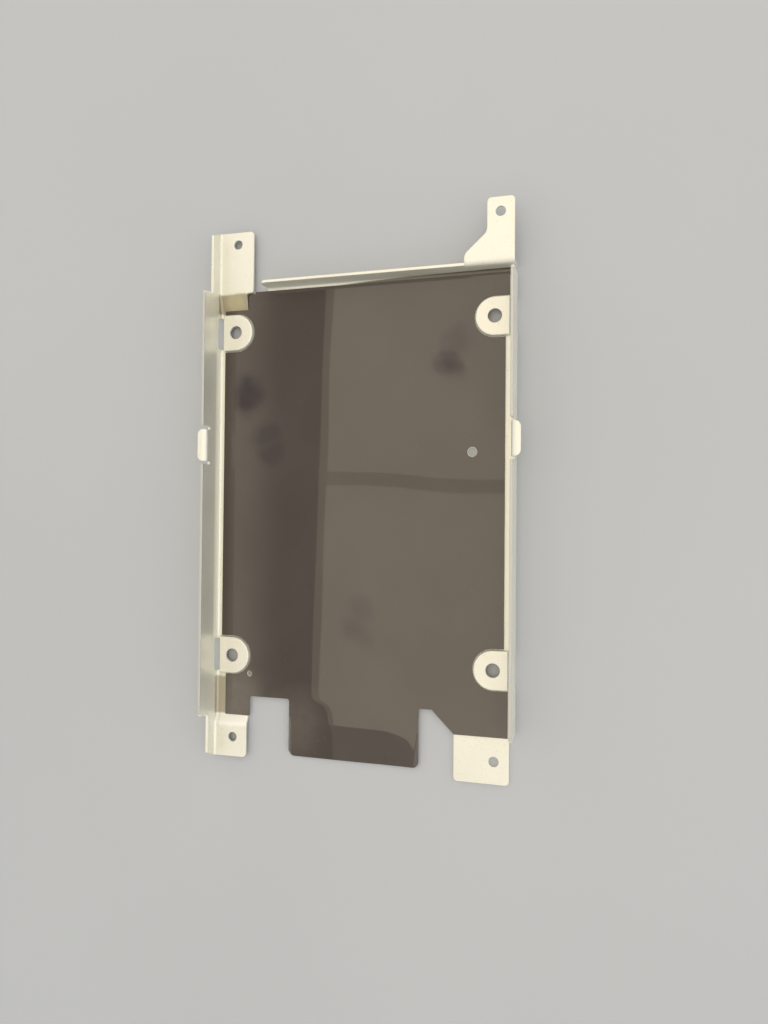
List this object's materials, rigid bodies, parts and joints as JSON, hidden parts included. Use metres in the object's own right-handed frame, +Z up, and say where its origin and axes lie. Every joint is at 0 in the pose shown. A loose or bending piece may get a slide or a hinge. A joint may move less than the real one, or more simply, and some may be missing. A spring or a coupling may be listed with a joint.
{
  "type": "laptop drive caddy",
  "caption": "Folded sheet-metal tray with raised screw pads, fixing ears and a dark insulating film, which holds a small disk drive inside a laptop.",
  "frame": {"origin": "on the underside of the floor, below the centre of the four drive screw holes", "axes": "+X across the caddy from the wall with two lipped ears to the other wall, +Y along it from the open connector end to the end wall, +Z up out of the tray"},
  "size_m": [0.0744, 0.1255, 0.0088],
  "materials": {
    "plated_steel": "satin",
    "film": "gloss"
  },
  "bodies": {
    "root": {"caddy_frame": "plated_steel", "insulating_film": "film"}
  },
  "joints": []
}
